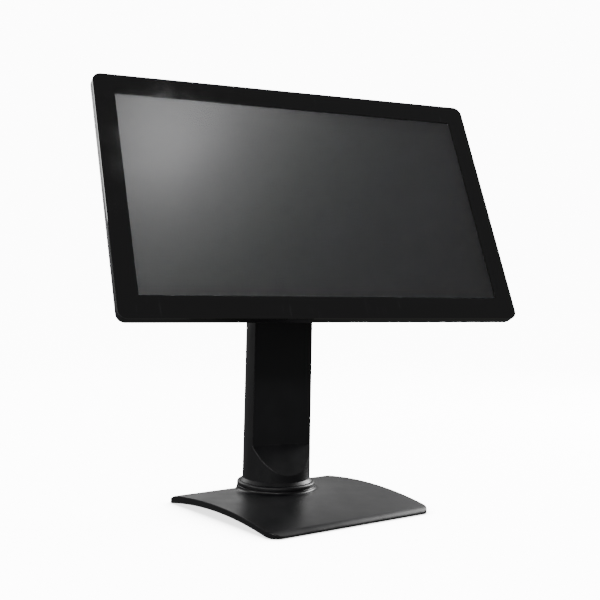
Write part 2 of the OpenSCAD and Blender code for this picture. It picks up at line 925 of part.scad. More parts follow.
module video_socket() {
    socket(video_size, 0.6);
}

module power_inlet() {
    x = power_size[0];
    half = power_size[1] / 2;
    low = port_z - socket_lip;
    in_head() color("#262626") difference() {
        box([x - half, board_back, low], [x + half, board_back + power_size[2], low + power_size[3]]);
        translate([x, board_back + power_size[2] / 2, low - 1]) cylinder(r = power_bore_r, h = 12);
    }
}

module port_bracket() {
    cut = 0.3;
    in_head() color(zinc) difference() {
        union() {
            box([-port_half, flange_y, port_z - port_t], [port_half, inner_back - 0.5, port_z]);
            box([-port_half, flange_y, port_z - port_t],
                [port_half, flange_y + port_t, port_z + port_flange]);
        }
        for (size = socket_sizes)
            box([size[0] - size[1] / 2 - cut, board_y - cut, port_z - port_t - 1],
                [size[0] + size[1] / 2 + cut, board_back + size[2] + cut, port_z + 1]);
    }
}

module driver_board() {
    in_head() color(green_board) {
        difference() {
            box([driver_x - driver_w / 2, board_y, -driver_h / 2],
                [driver_x + driver_w / 2, board_back, driver_h / 2]);
            at_spots(board_spots) bar_y(m3_r + 0.2, board_y - 1, board_t + 2);
        }
        box([driver_x - 30, board_back - eps, -20], [driver_x, board_back + 16, 12]);
        for (i = [0 : 3])
            translate([driver_x + 22, 0, -30 + i * 18]) bar_y(6, board_back - eps, 15);
    }
}

module touch_board() {
    in_head() color(green_board) {
        difference() {
            box([-touch_w / 2, board_y, touch_z - touch_h / 2],
                [touch_w / 2, board_back, touch_z + touch_h / 2]);
            at_spots(board_spots) bar_y(m3_r + 0.2, board_y - 1, board_t + 2);
        }
        box([-12, board_back - eps, touch_z - 8], [4, board_back + 1.4, touch_z + 8]);
        box([20, board_back - eps, touch_z - 10], [40, board_back + 4, touch_z - 4]);
    }
}

module board_screws() {
    in_head() color(zinc) at_spots(board_spots) {
        bar_y(m3_r, board_y - 5, board_t + 5 + eps);
        bar_y(2.9, board_back, 1.8);
    }
}

module speakers() {
    low = -bulge_h / 2 + bulge_lean + 2;
    half = speaker_w / 2;
    in_head() color("#202022") for (x = [-speaker_x, speaker_x]) difference() {
        box([x - half, flange_y, low], [x + half, flange_y + speaker_t, low + speaker_h]);
        translate([x, flange_y + speaker_t / 2, low - 1]) cylinder(r = 11, h = 4);
    }
}

module button_board() {
    in_head() color(green_board) {
        box([button_x - button_board_half, button_board_y, button_low - button_pitch + 1],
            [button_x + button_board_half, button_board_y + board_t, button_low + 5 * button_pitch - 1]);
        for (i = [0 : 4])
            translate([button_x, button_board_y + board_t, button_low + i * button_pitch]) {
                box([-switch_half, -eps, -switch_half], [switch_half, switch_t - 0.8, switch_half]);
                bar_y(1.6, switch_t - 0.9, 0.9);
            }
    }
}

// A push button: a cap through the wall, a flange behind it and a stem to the switch
module push_button(i) {
    low = switch_y + button_travel + washer_gap;
    in_head() color("#242426") translate([button_x, 0, button_low + i * button_pitch]) {
        bar_y(button_r, low, case_depth + button_proud - low);
        bar_y(button_flange_r, inner_back - washer_gap - button_flange_t, button_flange_t);
    }
}

module power_button() {
    push_button(0);
}

module menu_button() {
    push_button(1);
}

module down_button() {
    push_button(2);
}

module up_button() {
    push_button(3);
}

module source_button() {
    push_button(4);
}

// ---- What is drawn ----

base_plate();
base_foot_pads();
collar_ring();
swivel_thrust_washer();
swivel_stop_pin();
swivel_stud();
swivel_top_washer();
swivel_disc_springs();
swivel_lock_nut();
column_foot_plate();
column_mast();
column_front_shell();
column_rear_cover();
column_shell_screws();
shell_spacers();
column_top_cap();
cable_grommet();
hinge_yoke();
yoke_screws();
hinge_shaft();
hinge_friction_washers();
hinge_nuts();
monitor_bracket();
monitor_bracket_screws();
cover_glass();
glass_tape();
lcd_panel();
front_frame();
chassis_plate();
chassis_screws();
rear_case();
rear_case_screws();
main_board();
heat_sink();
network_socket();
usb_sockets();
video_socket();
power_inlet();
port_bracket();
driver_board();
touch_board();
board_screws();
speakers();
button_board();
power_button();
menu_button();
down_button();
up_button();
source_button();
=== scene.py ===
# %% [markdown]
# # Touchscreen kiosk
# A counter-top kiosk: a wide touch monitor that tilts on a round column, and a column that swivels
# on a low, arched cast base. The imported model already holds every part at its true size, its joints
# and its collision shapes. This notebook gives the kiosk its looks: it remodels the pieces that the
# eye rests on, with rounded edges, wells and true screw heads, and gives a finish to all the others.
#
# All lengths are metres. The frame says where each part is, so nothing is placed by eye.

import json
import math

import bmesh
import bpy
from mathutils import Matrix, Vector


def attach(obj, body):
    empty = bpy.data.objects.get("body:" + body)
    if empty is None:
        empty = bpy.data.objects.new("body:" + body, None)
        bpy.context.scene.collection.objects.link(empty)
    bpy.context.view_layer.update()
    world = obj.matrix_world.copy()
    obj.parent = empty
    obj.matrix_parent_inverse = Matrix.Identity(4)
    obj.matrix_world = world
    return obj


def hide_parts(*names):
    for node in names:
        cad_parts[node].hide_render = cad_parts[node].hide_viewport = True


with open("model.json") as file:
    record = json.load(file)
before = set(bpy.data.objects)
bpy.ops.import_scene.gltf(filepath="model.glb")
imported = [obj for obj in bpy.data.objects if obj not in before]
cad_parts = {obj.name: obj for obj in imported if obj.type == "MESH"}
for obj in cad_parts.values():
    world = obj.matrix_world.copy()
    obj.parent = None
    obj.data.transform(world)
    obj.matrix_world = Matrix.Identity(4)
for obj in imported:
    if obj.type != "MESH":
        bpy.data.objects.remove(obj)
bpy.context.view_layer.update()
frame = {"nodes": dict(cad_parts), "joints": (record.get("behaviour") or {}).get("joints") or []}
MM = 0.001

# %% [markdown]
# ## Where the three moving groups stand
# The base, the column and the monitor are each easiest to model square to the axes. The joints say
# how each group is turned: the buttons press straight into the monitor's back, so their axis gives
# the lean of the screen, and the swivel's two limits lie evenly about the base's straight ahead.
# One matrix per group then takes a piece from its own upright frame to its place in the kiosk.

# %% Own frames of the base, the column and the monitor
joints = {joint["name"]: joint for joint in frame["joints"]}
swivel_low, swivel_high = joints["swivel"]["range_deg"]
BASE_TURN = math.radians((swivel_low + swivel_high) / 2)
SWIVEL = Vector((0, joints["swivel"]["pos_m"][1], 0))
TILT = Vector(joints["tilt"]["pos_m"])
press = joints["power_press"]["axis"]
LEAN = math.atan2(press[2], -press[1])
COLUMN = Matrix.Translation(SWIVEL)
BASE = COLUMN @ Matrix.Rotation(BASE_TURN, 4, "Z")
MONITOR = Matrix.Translation(TILT) @ Matrix.Rotation(-LEAN, 4, "X")


def own_box(node, group):
    """Lowest and highest corner of a part, measured in its group's own frame."""
    back = group.inverted()
    corners = [back @ vertex.co for vertex in frame["nodes"][node].data.vertices]
    low = Vector(min(corner[i] for corner in corners) for i in range(3))
    high = Vector(max(corner[i] for corner in corners) for i in range(3))
    return low, high


glass_low, glass_high = own_box("cover_glass", MONITOR)
print(f"lean {math.degrees(LEAN):.1f}, base turned {math.degrees(BASE_TURN):.1f} degrees")
print("glass", [round(side / MM, 1) for side in glass_high - glass_low], "mm")

# %% [markdown]
# ## Modelling helpers
# Every piece below is made as by hand: a primitive is added at its size and place, then edit-mode
# tools shape it. The tools act on whatever is selected, so one helper clears the selection, one
# enters edit mode and one picks faces, edges or vertices by where they are.

# %% Selecting
def only(piece):
    """Leaves object mode with nothing selected but this piece."""
    if bpy.context.mode != "OBJECT":
        bpy.ops.object.mode_set(mode="OBJECT")
    bpy.ops.object.select_all(action="DESELECT")
    if piece:
        piece.select_set(True)
        bpy.context.view_layer.objects.active = piece
    return piece


def edit(piece):
    """Enters edit mode with nothing selected."""
    only(piece)
    bpy.ops.object.mode_set(mode="EDIT")
    bpy.ops.mesh.select_mode(type="VERT")
    bpy.ops.mesh.select_all(action="DESELECT")


def pick(piece, kind, test):
    """In edit mode, selects only the vertices, edges or faces that pass a test."""
    bpy.ops.mesh.select_mode(type=kind)
    bpy.ops.mesh.select_all(action="DESELECT")
    mesh = bmesh.from_edit_mesh(piece.data)
    items = {"VERT": mesh.verts, "EDGE": mesh.edges, "FACE": mesh.faces}[kind]
    chosen = [item for item in items if test(item)]
    for item in chosen:
        item.select_set(True)
    mesh.select_flush_mode()
    bmesh.update_edit_mesh(piece.data)
    return len(chosen)


def middle(edge):
    return (edge.verts[0].co + edge.verts[1].co) / 2


def runs_along(edge, axis):
    """True if an edge is parallel to an axis, given as 0, 1 or 2."""
    step = edge.verts[1].co - edge.verts[0].co
    return abs(step[axis]) > 0.999 * step.length


def sharp(edge, degrees=30):
    return len(edge.link_faces) == 2 and edge.calc_face_angle(0) > math.radians(degrees)


# %% Making and finishing a piece
def named(name):
    piece = bpy.context.object
    piece.name = name
    piece.data.name = name
    bpy.ops.object.transform_apply(location=True, rotation=True, scale=True)
    return piece


def block(name, low, high):
    """A block between two corners."""
    only(None)
    low, high = Vector(low), Vector(high)
    bpy.ops.mesh.primitive_cube_add(size=1, location=(low + high) / 2, scale=high - low)
    return named(name)


def rod(name, radius, start, end, sides=64):
    """A round bar from one point to another."""
    only(None)
    start, end = Vector(start), Vector(end)
    turn = (end - start).to_track_quat("Z", "Y").to_euler()
    bpy.ops.mesh.primitive_cylinder_add(
        vertices=sides, radius=radius, depth=(end - start).length,
        location=(start + end) / 2, rotation=turn,
    )
    return named(name)


def lathe(name, outline, steps=160):
    """A ring or disc spun from an outline of (radius, height) points about the Z axis."""
    only(None)
    bpy.ops.mesh.primitive_plane_add(size=1)
    piece = named(name)
    edit(piece)
    bpy.ops.mesh.select_all(action="SELECT")
    bpy.ops.mesh.delete(type="VERT")
    mesh = bmesh.from_edit_mesh(piece.data)
    points = [mesh.verts.new((radius, 0, height)) for radius, height in outline]
    closed = outline[0][0] > 0
    for i in range(len(points) if closed else len(points) - 1):
        mesh.edges.new((points[i], points[(i + 1) % len(points)]))
    bmesh.update_edit_mesh(piece.data)
    bpy.ops.mesh.select_all(action="SELECT")
    bpy.ops.mesh.spin(steps=steps, angle=2 * math.pi, center=(0, 0, 0), axis=(0, 0, 1))
    bpy.ops.mesh.select_all(action="SELECT")
    bpy.ops.mesh.remove_doubles(threshold=0.001 * MM)
    bpy.ops.mesh.normals_make_consistent(inside=False)
    only(piece)
    return piece


def round_edges(piece, test, width, segments):
    """Rounds the edges that pass a test."""
    edit(piece)
    count = pick(piece, "EDGE", test)
    bpy.ops.mesh.bevel(offset=width, segments=segments, profile=0.5, affect="EDGES")
    only(piece)
    return count


def cut(piece, cutter, operation="DIFFERENCE"):
    """Cuts one piece with another, or joins them, and throws the second away."""
    only(piece)
    tool = piece.modifiers.new("cut", "BOOLEAN")
    tool.operation = operation
    tool.solver = "EXACT"
    tool.object = cutter
    bpy.ops.object.modifier_apply(modifier=tool.name)
    bpy.data.objects.remove(cutter)
    return piece


def smooth(piece, degrees=32):
    """Smooth shading that keeps sharp edges, with large flat faces left truly flat."""
    only(piece)
    bpy.ops.object.shade_smooth_by_angle(angle=math.radians(degrees))
    flats = piece.modifiers.new("flats", "WEIGHTED_NORMAL")
    flats.keep_sharp, flats.weight = True, 100
    bpy.ops.object.modifier_apply(modifier=flats.name)
    return piece


def place(piece, group):
    """Takes a finished piece from its group's own frame to its place, and keeps that in its mesh."""
    only(piece)
    piece.matrix_world = group
    bpy.ops.object.transform_apply(location=True, rotation=True, scale=True)
    return piece


def join(name, pieces):
    only(None)
    for piece in pieces:
        piece.select_set(True)
    bpy.context.view_layer.objects.active = pieces[0]
    bpy.ops.object.join()
    return named(name)


def copy_at(piece, offset):
    """A copy with its own mesh, moved by an offset."""
    twin = piece.copy()
    twin.data = piece.data.copy()
    bpy.context.scene.collection.objects.link(twin)
    twin.data.transform(Matrix.Translation(offset))
    return twin


def hand_over(piece, body, slot, finish, *nodes):
    """Gives a piece its body, its material and the parts that it stands for."""
    if not piece.data.materials:
        piece.data.materials.append(finish)
    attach(piece, body)
    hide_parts(*nodes)
    print(piece.name, len(piece.data.polygons), "faces")


# %% [markdown]
# ## Material helpers
# Each finish is named for the real one. Colours are given as sRGB hex and turned to linear once.
# A pattern's scale is worked out from a length in millimetres, so a grain stays the right size.

# %% Colours, nodes and pattern sizes
def colour(code):
    """Linear RGBA from an sRGB hex code such as #1b1b1d."""
    parts = [int(code[i:i + 2], 16) / 255 for i in (1, 3, 5)]
    linear = [p / 12.92 if p <= 0.04045 else ((p + 0.055) / 1.055) ** 2.4 for p in parts]
    return (*linear, 1)


def node(tree, kind, values=None, links=None, **settings):
    """Adds one node, with its settings, its input values and its links."""
    made = tree.nodes.new("ShaderNode" + kind)
    for key, value in settings.items():
        setattr(made, key, value)
    for key, value in (values or {}).items():
        made.inputs[key].default_value = value
    for key, source in (links or {}).items():
        tree.links.new(source, made.inputs[key])
    return made


def every(millimetres):
    """Texture scale that repeats once in so many millimetres."""
    return 1 / (millimetres * MM)


def start_finish(name, base, roughness, metallic=0.0, ior=1.5):
    """A material with its Principled shader set, and object coordinates to draw patterns on."""
    material = bpy.data.materials.new(name)
    material.use_nodes = True
    tree = material.node_tree
    tree.nodes.clear()
    shader = node(tree, "BsdfPrincipled", {
        "Base Color": colour(base), "Roughness": roughness, "Metallic": metallic, "IOR": ior,
    })
    node(tree, "OutputMaterial", links={"Surface": shader.outputs["BSDF"]})
    place_on = node(tree, "TexCoord").outputs["Object"]
    return material, tree, shader, place_on


def spread(tree, source, low, high, start=0.3, end=0.7):
    """A number that goes from low to high as a pattern goes from start to end."""
    return node(tree, "MapRange", {
        "From Min": start, "From Max": end, "To Min": low, "To Max": high,
    }, {"Value": source}).outputs["Result"]


def shades(tree, source, dark, light, start=0.3, end=0.7):
    """A colour that goes from dark to light as a pattern goes from start to end."""
    share = spread(tree, source, 0, 1, start, end)
    colour_a, colour_b, colour_out = 6, 7, 2
    blend = node(tree, "Mix", {colour_a: colour(dark), colour_b: colour(light)}, {0: share},
                 data_type="RGBA")
    return blend.outputs[colour_out]


def relief(tree, source, shader, depth, strength=1.0):
    """Raises a pattern on the surface, with its depth in millimetres."""
    bump = node(tree, "Bump", {"Distance": depth * MM, "Strength": strength}, {"Height": source})
    tree.links.new(bump.outputs["Normal"], shader.inputs["Normal"])
    return bump


# %% [markdown]
# ## Black-printed toughened glass
# The border of the cover glass is printed black on its back with ceramic ink and fired, and the
# glass over it is float glass. It is as smooth as a mirror, so all that shows is a faint even
# reflection, finger smears that dull it, and hair-fine wiping scratches that run up to the right.
# One surface stands here for the glass and for the fired ink behind it, so its index of 1.75 is set
# above float glass's 1.52. The scratches are drawn coarser than real ones, so that they show at all.

# %% Printed glass
def printed_glass():
    material, tree, shader, at = start_finish(
        "black printed toughened glass", "#0a0a0b", 0.07, ior=1.75)
    upright = node(tree, "Mapping", {"Rotation": (LEAN, 0, 0)}, {"Vector": at}).outputs["Vector"]
    smear = node(tree, "TexNoise", {"Scale": every(45), "Detail": 4, "Roughness": 0.6},
                 {"Vector": upright}).outputs["Fac"]
    tree.links.new(spread(tree, smear, 0.03, 0.08, 0.4, 0.75), shader.inputs["Roughness"])
    wiped = node(tree, "Mapping", {"Rotation": (0, math.radians(52), 0), "Scale": (1, 1, 0.035)},
                 {"Vector": upright}).outputs["Vector"]
    hair = node(tree, "TexNoise", {"Scale": every(2.4), "Detail": 1, "Roughness": 0.4},
                {"Vector": wiped}).outputs["Fac"]
    patch = node(tree, "TexNoise", {"Scale": every(60), "Detail": 1}, {"Vector": upright})
    line = spread(tree, hair, 0, 1, 0.70, 0.74)
    where = spread(tree, patch.outputs["Fac"], 0, 1, 0.5, 0.62)
    both = node(tree, "Math", links={0: line, 1: where}, operation="MULTIPLY").outputs["Value"]
    tree.links.new(shades(tree, both, "#070708", "#2a2a2c", 0, 1), shader.inputs["Base Color"])
    return material


# %% [markdown]
# ## Clear glass and the display behind it
# Inside the border the same glass is clear, and etched against glare: its skin is finely rough, so
# that it spreads a lamp's reflection into the soft grey bloom that a switched-off screen shows. Real
# glass bends light, and lamps would only reach the display through it as slow, grainy caustics, so
# it lets shadow rays straight through. The film on the display behind it is etched in the same way.

# %% Clear glass and anti-glare film
def clear_glass():
    material, tree, shader, _ = start_finish("etched clear glass", "#ffffff", 0.265)
    shader.inputs["Transmission Weight"].default_value = 1
    output = tree.nodes["Material Output"]
    shadow = node(tree, "LightPath").outputs["Is Shadow Ray"]
    passes = node(tree, "BsdfTransparent").outputs["BSDF"]
    mix = node(tree, "MixShader", links={0: shadow, 1: shader.outputs["BSDF"], 2: passes})
    tree.links.new(mix.outputs["Shader"], output.inputs["Surface"])
    return material


def anti_glare_film():
    material, tree, shader, at = start_finish("etched anti-glare film", "#101113", 0.3)
    sparkle = node(tree, "TexNoise", {"Scale": every(0.5), "Detail": 2}, {"Vector": at})
    tree.links.new(spread(tree, sparkle.outputs["Fac"], 0.28, 0.33), shader.inputs["Roughness"])
    relief(tree, sparkle.outputs["Fac"], shader, 0.004)
    return material


# %% [markdown]
# ## Plastics, rubber and paint
# The covers are ABS, moulded in tools whose walls were spark-eroded to a fine even grain: satin,
# with a soft sheen on the edges. The base is cast iron under powder coat, which melts into a skin
# with a faint orange peel about 1.5 mm across and hides the casting's own grain. Rubber is matt and
# slightly dusty, foam tape is full of open cells whose pits are painted darker, as painted shade,
# and acetal is a waxy off-white.

# %% Moulded plastics
def moulded_abs(name="moulded black ABS", base="#121214", light="#18181a", roughness=0.42):
    material, tree, shader, at = start_finish(name, base, roughness)
    grain = node(tree, "TexNoise", {"Scale": every(0.45), "Detail": 3, "Roughness": 0.65},
                 {"Vector": at}).outputs["Fac"]
    cloud = node(tree, "TexNoise", {"Scale": every(38), "Detail": 3}, {"Vector": at})
    tree.links.new(spread(tree, cloud.outputs["Fac"], roughness - 0.04, roughness + 0.07),
                   shader.inputs["Roughness"])
    tree.links.new(shades(tree, cloud.outputs["Fac"], base, light), shader.inputs["Base Color"])
    relief(tree, grain, shader, 0.02, 0.6)
    return material


def acetal():
    material, tree, shader, at = start_finish("natural acetal", "#e6dfd0", 0.34, ior=1.48)
    shader.inputs["Subsurface Weight"].default_value = 0.25
    shader.inputs["Subsurface Radius"].default_value = (2 * MM, 1.6 * MM, 1.1 * MM)
    turned = node(tree, "TexNoise", {"Scale": every(1.2), "Detail": 2}, {"Vector": at})
    tree.links.new(shades(tree, turned.outputs["Fac"], "#ddd5c4", "#ece6d9"),
                   shader.inputs["Base Color"])
    relief(tree, turned.outputs["Fac"], shader, 0.01)
    return material


# %% Rubber, foam and powder coat
def moulded_rubber():
    material, tree, shader, at = start_finish("moulded rubber", "#161616", 0.78, ior=1.52)
    dust = node(tree, "TexNoise", {"Scale": every(6), "Detail": 5, "Roughness": 0.7},
                {"Vector": at}).outputs["Fac"]
    tree.links.new(shades(tree, dust, "#111111", "#222222", 0.4, 0.75), shader.inputs["Base Color"])
    relief(tree, dust, shader, 0.03)
    return material


def foam_tape():
    material, tree, shader, at = start_finish("closed-cell foam tape", "#1a1a1a", 0.95)
    pits_and_painted_shade = node(tree, "TexVoronoi", {"Scale": every(0.6)}, {"Vector": at}).outputs["Distance"]
    # The pits are painted darker than the cell walls: painted shade in the open cells.
    tree.links.new(shades(tree, pits_and_painted_shade, "#0c0c0c", "#262626", 0, 0.6), shader.inputs["Base Color"])
    relief(tree, pits_and_painted_shade, shader, 0.08)
    return material


def powder_coat(name, base, light, roughness):
    material, tree, shader, at = start_finish(name, base, roughness)
    peel = node(tree, "TexNoise", {"Scale": every(1.6), "Detail": 2, "Roughness": 0.5},
                {"Vector": at}).outputs["Fac"]
    cloud = node(tree, "TexNoise", {"Scale": every(55), "Detail": 4}, {"Vector": at}).outputs["Fac"]
    tree.links.new(shades(tree, cloud, base, light), shader.inputs["Base Color"])
    tree.links.new(spread(tree, cloud, roughness - 0.05, roughness + 0.06),
                   shader.inputs["Roughness"])
    relief(tree, peel, shader, 0.03, 0.5)
    return material


# %% [markdown]
# ## Metals and boards
# Zinc plate is bright but milky, with a fine spangle. Pressed sheet keeps the long marks of the
# rolling mill, drawn here by stretching a noise along one axis. The heat sink is drawn through a die
# and anodised, so its marks run along its fins. A circuit board is green lacquer over copper, and
# the copper shows through as slightly lighter tracks.

# %% Metals
def plated_steel(name="bright zinc-plated steel", base="#b9bdc4", light="#cfd2d6"):
    material, tree, shader, at = start_finish(name, base, 0.3, metallic=1)
    spangle = node(tree, "TexVoronoi", {"Scale": every(2.2)}, {"Vector": at}).outputs["Color"]
    cloud = node(tree, "TexNoise", {"Scale": every(5), "Detail": 3}, {"Vector": at}).outputs["Fac"]
    tree.links.new(shades(tree, spangle, base, light, 0, 1), shader.inputs["Base Color"])
    tree.links.new(spread(tree, cloud, 0.22, 0.4), shader.inputs["Roughness"])
    return material


def streaked_metal(name, dark, light, stretch, roughness):
    material, tree, shader, at = start_finish(name, dark, roughness, metallic=1)
    along = node(tree, "Mapping", {"Scale": stretch}, {"Vector": at}).outputs["Vector"]
    marks = node(tree, "TexNoise", {"Scale": every(0.8), "Detail": 3}, {"Vector": along})
    tree.links.new(shades(tree, marks.outputs["Fac"], dark, light), shader.inputs["Base Color"])
    tree.links.new(spread(tree, marks.outputs["Fac"], roughness - 0.06, roughness + 0.1),
                   shader.inputs["Roughness"])
    relief(tree, marks.outputs["Fac"], shader, 0.01, 0.4)
    return material


def solder_mask():
    material, tree, shader, at = start_finish("green solder mask", "#12402a", 0.32)
    upright = node(tree, "Mapping", {"Rotation": (math.pi / 2 + LEAN, 0, 0)}, {"Vector": at})
    tracks = node(tree, "TexBrick", {
        "Scale": every(18), "Mortar Size": 0.03, "Color1": colour("#12402a"),
        "Color2": colour("#15472f"), "Mortar": colour("#27613f"),
    }, {"Vector": upright.outputs["Vector"]})
    tree.links.new(tracks.outputs["Color"], shader.inputs["Base Color"])
    relief(tree, tracks.outputs["Fac"], shader, 0.03)
    return material


# %% All finishes, once each
PRINT = printed_glass()
CLEAR = clear_glass()
FILM = anti_glare_film()
ABS = moulded_abs()
SOCKET_ABS = moulded_abs("glass-filled black nylon", "#1a1a1b", "#202022", 0.55)
BUTTON_ABS = moulded_abs("moulded button plastic", "#17171a", "#1d1d20", 0.36)
CAST = powder_coat("satin black powder coat on cast iron", "#111113", "#151517", 0.36)
STOVED = powder_coat("black powder coat on steel", "#0f0f11", "#151517", 0.42)
RUBBER = moulded_rubber()
FOAM = foam_tape()
ACETAL = acetal()
ZINC = plated_steel()
NICKEL = plated_steel("nickel-plated shell", "#b4ac9c", "#c8c2b4")
SPRING = streaked_metal("hardened spring steel", "#5c5f66", "#83878e", (1, 1, 1), 0.34)
SHEET = streaked_metal("pressed steel sheet", "#8b8f95", "#a9adb2", (0.04, 1, 1), 0.38)
FINS = streaked_metal("extruded anodised aluminium", "#8d9298", "#b2b6ba", (1, 0.05, 0.05), 0.36)
BOARD = solder_mask()
print(len(bpy.data.materials), "finishes")


# %% [markdown]
# ## Camera, floor and light
# The kiosk stands on a plain pale floor. Black gloss shows whatever it mirrors, so the room that the
# object sees is dim and the camera alone sees it white. One small lamp hangs where the upper left of
# the display mirrors it, and the etched glass spreads it into a soft bloom. Low lamps behind brighten
# the base's curved top, which is seen at a grazing angle, and lamps in front and to the left model
# the column. The last two light the monitor's back, which the front never shows. The floor glows
# evenly, and an ambient-occlusion node dims its glow near the base: a painted contact shadow, not
# one that the lamps cast. The view transform shows anything below about WHITE as grey, so the floor
# and the room both reach it for the camera.

# %% Camera
EYE = Vector((-0.7066, -1.5111, 0.3907))
PAN, PITCH, ROLL = math.radians(24.12), math.radians(-0.62), math.radians(1.30)
forward = Vector((
    math.sin(PAN) * math.cos(PITCH), math.cos(PAN) * math.cos(PITCH), math.sin(PITCH)))
level = Vector((math.cos(PAN), -math.sin(PAN), 0))
above = level.cross(forward)
right = level * math.cos(ROLL) + above * math.sin(ROLL)
up = above * math.cos(ROLL) - level * math.sin(ROLL)
lens = bpy.data.cameras.new("camera")
lens.lens = 62.1
lens.shift_x, lens.shift_y = 0.0343, -0.0374
camera = bpy.data.objects.new("camera", lens)
camera.matrix_world = Matrix.Translation(EYE) @ Matrix((right, up, -forward)).transposed().to_4x4()
bpy.context.scene.collection.objects.link(camera)
bpy.context.scene.camera = camera


# %% Lamps
screen_middle = MONITOR @ Vector((0, 0, 0))
kiosk_middle = (0, 0, 0.2)
LAMPS = {
    "bloom_lamp": (0.24, 2.7, (0.31, -0.886, 2.1), screen_middle),
    "front_lamp": (0.3, 14, (-0.9, -2.0, 1.5), (0, 0, 0.1)),
    "left_softbox": (0.8, 7.5, (-1.6, -1.2, 0.9), kiosk_middle),
    "side_softbox": (0.8, 9, (-1.7, 0.2, 0.9), kiosk_middle),
    "low_back_light": (1.2, 3.4, (0.5, 2.0, 0.8), kiosk_middle),
    "right_back_light": (0.9, 1.2, (1.2, 1.5, 0.9), kiosk_middle),
    "right_light": (0.6, 3, (1.3, 0.7, 0.6), kiosk_middle),
    "right_back_softbox": (1.0, 60, (2.1, 0.7, 1.2), screen_middle),
    "left_back_softbox": (1.0, 10, (-0.7, 1.9, 1.0), screen_middle),
}
for name, (width, watts, spot, aim) in LAMPS.items():
    light = bpy.data.lights.new(name, "AREA")
    light.shape = "DISK"
    light.size, light.energy = width, watts
    lamp = bpy.data.objects.new(name, light)
    lamp.location = spot
    lamp.rotation_euler = (Vector(aim) - Vector(spot)).to_track_quat("-Z", "Y").to_euler()
    bpy.context.scene.collection.objects.link(lamp)

# %% Floor and room
WHITE, ROOM_GLOW = 12, 0.15
PAINTED_SHADOW_REACH, PAINTED_SHADOW_GLOW = 90 * MM, 2.2
only(None)
bpy.ops.mesh.primitive_circle_add(vertices=128, radius=9, fill_type="NGON")
floor = named("floor")
paper, paper_tree, paper_shader, paper_at = start_finish("glowing white paper with painted contact shadow", "#f4f4f4", 0.9)
fibre = node(paper_tree, "TexNoise", {"Scale": every(1.5), "Detail": 2}, {"Vector": paper_at})
relief(paper_tree, fibre.outputs["Fac"], paper_shader, 0.02, 0.2)
# The floor's glow is dimmed where the base is near: a painted contact shadow, not one cast by the
# lamps.
painted_contact_shadow = node(paper_tree, "AmbientOcclusion", {"Distance": PAINTED_SHADOW_REACH}, samples=12)
paper_shader.inputs["Emission Color"].default_value = (1, 1, 1, 1)
paper_tree.links.new(spread(paper_tree, painted_contact_shadow.outputs["AO"], PAINTED_SHADOW_GLOW, WHITE, 0.35, 1),
                     paper_shader.inputs["Emission Strength"])
floor.data.materials.append(paper)
floor.visible_diffuse = floor.visible_glossy = floor.visible_transmission = False

room = bpy.data.worlds.new("white room")
bpy.context.scene.world = room
room.use_nodes = True
room.node_tree.nodes.clear()
seen = node(room.node_tree, "LightPath").outputs["Is Camera Ray"]
dim, white = (node(room.node_tree, "Background", {"Color": (1, 1, 1, 1), "Strength": glow})
              for glow in (ROOM_GLOW, WHITE))
mixed = node(room.node_tree, "MixShader", links={
    0: seen, 1: dim.outputs["Background"], 2: white.outputs["Background"]})
node(room.node_tree, "OutputWorld", links={"Surface": mixed.outputs["Shader"]})

# %% [markdown]
# ## Base plate
# The base is one iron casting: a plate that arches up from thin front and back edges, and a round
# boss that the column turns on, with a generous fillet where the two meet. Each end of the arch
# rolls over to a round nose, slowly at the back and quickly at the front, and the front corners are
# rounder than the back ones. Carving it from one block keeps its faces in clean strips: round the
# corners, round the rims, slice it across, and only then lift each slice onto the arch. The boss is
# turned as on a lathe, and the foot of its fillet is laid onto the plate's curved top before the two
# are joined.

# %% Arch of the plate
plate_low, plate_high = own_box("base_plate", BASE)
FRONT_EDGE, BACK_EDGE = 7.2 * MM, 11.6 * MM
RISE, HOLLOW, FOOT = 12.8 * MM, 12 * MM, 10 * MM
FRONT_CORNER, BACK_CORNER, RIM = 22 * MM, 8 * MM, 1.3 * MM
FRONT_ROLL, FRONT_ROLL_RADIUS = 12 * MM, 22 * MM
BACK_ROLL, BACK_ROLL_RADIUS = 26 * MM, 55 * MM
run = plate_high.y - plate_low.y
centre_y = (plate_low.y + plate_high.y) / 2
slope = math.atan2(BACK_EDGE - FRONT_EDGE, run)
top_radius = (run ** 2 / 4 + RISE ** 2) / (2 * RISE)
top_y = centre_y + (top_radius - RISE) * math.sin(slope)
top_z = (FRONT_EDGE + BACK_EDGE) / 2 - (top_radius - RISE) * math.cos(slope)
hollow_radius = ((run / 2 - FOOT) ** 2 + HOLLOW ** 2) / (2 * HOLLOW)


def rolled_end(end_y, length, radius, side):
    """Where an end starts to roll over, the roll's centre, and the round nose that it meets."""
    start_y = end_y - side * length
    start_z = top_z + math.sqrt(top_radius ** 2 - (start_y - top_y) ** 2)
    share = radius / top_radius
    roll_y, roll_z = start_y + (top_y - start_y) * share, start_z + (top_z - start_z) * share
    reach = side * (end_y - roll_y)
    half = reach + roll_z - radius
    nose = half + math.sqrt(half ** 2 - reach ** 2 - roll_z ** 2 + radius ** 2)
    nose_y = end_y - side * nose
    meet_y = roll_y + (nose_y - roll_y) * radius / (radius - nose)
    return {"side": side, "start": start_y, "meet": meet_y, "nose_y": nose_y, "nose": nose,
            "roll_y": roll_y, "roll_z": roll_z, "radius": radius}


ENDS = (
    rolled_end(plate_high.y, BACK_ROLL, BACK_ROLL_RADIUS, 1),
    rolled_end(plate_low.y, FRONT_ROLL, FRONT_ROLL_RADIUS, -1),
)


def plate_top(y):
    """Height of the plate's upper face above its feet."""
    for end in ENDS:
        if end["side"] * (y - end["meet"]) > 0:
            across = min(abs(y - end["nose_y"]), end["nose"])
            return end["nose"] + math.sqrt(end["nose"] ** 2 - across ** 2)
        if end["side"] * (y - end["start"]) > 0:
            return end["roll_z"] + math.sqrt(end["radius"] ** 2 - (y - end["roll_y"]) ** 2)
    return top_z + math.sqrt(top_radius ** 2 - (y - top_y) ** 2)


